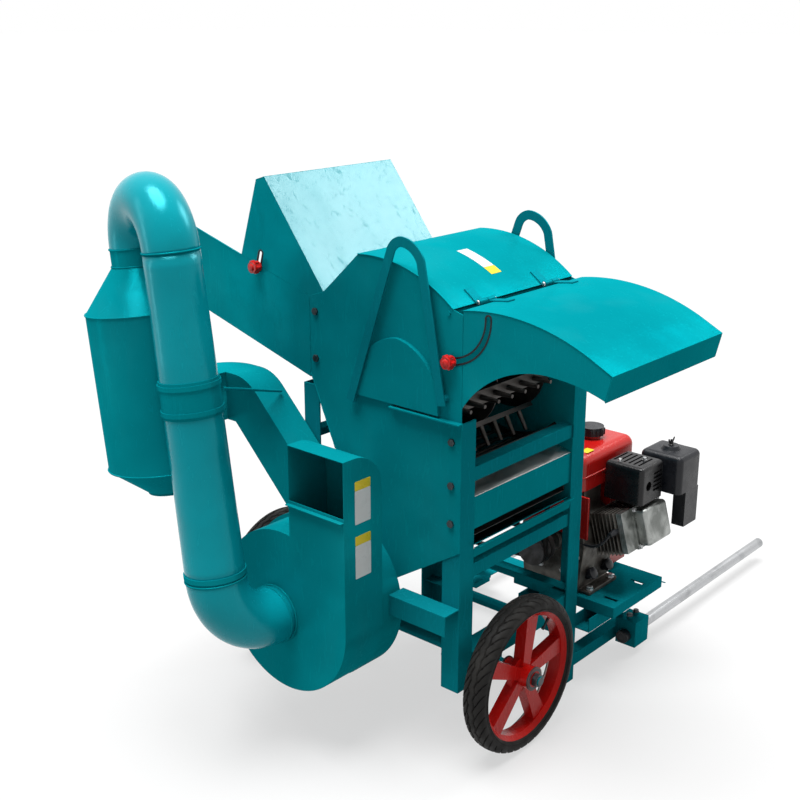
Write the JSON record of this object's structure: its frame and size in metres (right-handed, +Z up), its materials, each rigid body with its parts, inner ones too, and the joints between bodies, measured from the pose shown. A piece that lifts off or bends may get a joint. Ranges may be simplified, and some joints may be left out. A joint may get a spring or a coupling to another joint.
{
  "type": "grain thresher",
  "caption": "Wheeled grain thresher: toothed drum under a hinged lid, feed trough, straw hood, blower, suction pipe to a cyclone, engine on a rear plate and pull rods.",
  "frame": {"origin": "centre of the overall footprint on the ground", "axes": "+X along the machine towards the straw hood, +Y towards the engine and pull rods, +Z up"},
  "size_m": [1.1398, 1.7222, 1.2024],
  "materials": {
    "teal_paint": "gloss",
    "red_paint": "gloss",
    "red_plastic": "gloss",
    "black_plastic": "satin",
    "tyre_rubber": "matte",
    "belt_rubber": "matte",
    "black_enamel": "satin",
    "cast_aluminium": "as cast",
    "cast_iron": "as cast",
    "bare_steel": "worn",
    "galvanised": "zinc"
  },
  "bodies": {
    "frame": {"air_cleaner": "black_plastic", "axle": "teal_paint", "blower_housing": "teal_paint", "carburettor": "cast_aluminium", "carry_straps": "teal_paint", "concave": "bare_steel", "crankcase": "cast_aluminium", "cyclone": "teal_paint", "cylinder": "cast_aluminium", "discharge_hood": "teal_paint", "drive_belts": "belt_rubber", "drum_end_cover": "teal_paint", "engine_base": "teal_paint", "engine_plate": "teal_paint", "engine_shroud": "red_paint", "far_side_plate": "teal_paint", "feed_hood": "teal_paint", "feed_trough": "teal_paint", "frame_bars": "teal_paint", "frame_bolts": "bare_steel", "frame_posts": "teal_paint", "front_plate": "teal_paint", "fuel_tank": "red_paint", "hood_hinge_leaves": "teal_paint", "lower_pan": "teal_paint", "muffler": "black_enamel", "near_side_plate": "teal_paint", "pipe_bands": "teal_paint", "recoil_starter": "red_paint", "rod_clamps": "teal_paint", "shaft_bearings": "cast_iron", "sieve_runners": "bare_steel", "suction_elbow": "teal_paint", "suction_pipe": "teal_paint", "thrower_duct": "teal_paint", "thrower_housing": "teal_paint", "top_bend": "teal_paint", "valve_cover": "cast_aluminium"},
    "near_wheel": {"near_tyre": "tyre_rubber", "near_rim": "red_paint"},
    "far_wheel": {"far_tyre": "tyre_rubber", "far_rim": "red_paint"},
    "drum": {"drum_shaft": "bare_steel", "threshing_drum": "bare_steel", "drum_pulley": "cast_iron"},
    "blower_rotor": {"auger_shaft": "bare_steel", "blower_wheel": "bare_steel", "thrower_wheel": "bare_steel", "blower_pulley": "cast_iron"},
    "engine_rotor": {"engine_pulley": "cast_iron"},
    "lid": {"top_cover": "teal_paint", "lid_hinge_leaves": "teal_paint"},
    "deflector": {"straw_deflector": "teal_paint"},
    "deflector_knob_body": {"deflector_knob": "red_plastic"},
    "gate": {"feed_gate": "teal_paint"},
    "gate_knob_body": {"gate_knob": "red_plastic"},
    "sieve": {"sieve_tray": "bare_steel"},
    "near_rod": {"near_pull_rod": "galvanised"},
    "far_rod": {"far_pull_rod": "galvanised"},
    "tank_cap": {"fuel_cap": "black_plastic"}
  },
  "joints": [
    {"name": "near_wheel_spin", "type": "hinge", "parent": "frame", "child": "near_wheel", "pos_m": [0.30314, -0.3309, 0.17], "axis": [1, 0, 0], "continuous": true},
    {"name": "far_wheel_spin", "type": "hinge", "parent": "frame", "child": "far_wheel", "pos_m": [-0.40986, -0.3309, 0.17], "axis": [1, 0, 0], "continuous": true},
    {"name": "drum_spin", "type": "hinge", "parent": "frame", "child": "drum", "pos_m": [0.08514, -0.2489, 0.752], "axis": [0, 1, 0], "continuous": true},
    {"name": "engine_spin", "type": "hinge", "parent": "frame", "child": "engine_rotor", "pos_m": [0.14014, -0.0489, 0.311], "axis": [0, 1, 0], "continuous": true},
    {"name": "blower_spin", "type": "hinge", "parent": "frame", "child": "blower_rotor", "pos_m": [-0.08786, -0.2489, 0.303], "axis": [0, 1, 0], "continuous": true},
    {"name": "lid_open", "type": "hinge", "parent": "frame", "child": "lid", "pos_m": [0.22914, -0.2689, 0.9647], "axis": [0, 1, 0], "range_deg": [0, 95]},
    {"name": "deflector_tilt", "type": "hinge", "parent": "frame", "child": "deflector", "pos_m": [0.21114, -0.2689, 0.953], "axis": [0, -1, 0], "range_deg": [0, 85]},
    {"name": "deflector_knob_turn", "type": "hinge", "parent": "deflector", "child": "deflector_knob_body", "pos_m": [0.21916, -0.4789, 0.86135], "axis": [0, 1, 0], "continuous": true},
    {"name": "gate_lift", "type": "slide", "parent": "frame", "child": "gate", "axis": [0.2741, 0, 0.9617], "range_m": [0, 0.03]},
    {"name": "gate_knob_turn", "type": "hinge", "parent": "gate", "child": "gate_knob_body", "pos_m": [-0.31086, -0.4789, 0.971], "axis": [0, 1, 0], "continuous": true},
    {"name": "sieve_shake", "type": "slide", "parent": "frame", "child": "sieve", "axis": [1, 0, 0], "range_m": [-0.008, 0.008]},
    {"name": "near_rod_slide", "type": "slide", "parent": "frame", "child": "near_rod", "axis": [0, 1, 0], "range_m": [-0.27, 0]},
    {"name": "far_rod_slide", "type": "slide", "parent": "frame", "child": "far_rod", "axis": [0, 1, 0], "range_m": [-0.27, 0]},
    {"name": "fuel_cap_turn", "type": "hinge", "parent": "frame", "child": "tank_cap", "pos_m": [0.14014, 0.1611, 0.545], "axis": [0, 0, 1], "range_deg": [0, 90]}
  ],
  "couplings": [
    {"joint": "engine_spin", "follows": "drum_spin", "ratio": 2.6389},
    {"joint": "blower_spin", "follows": "drum_spin", "ratio": 2.1111}
  ]
}
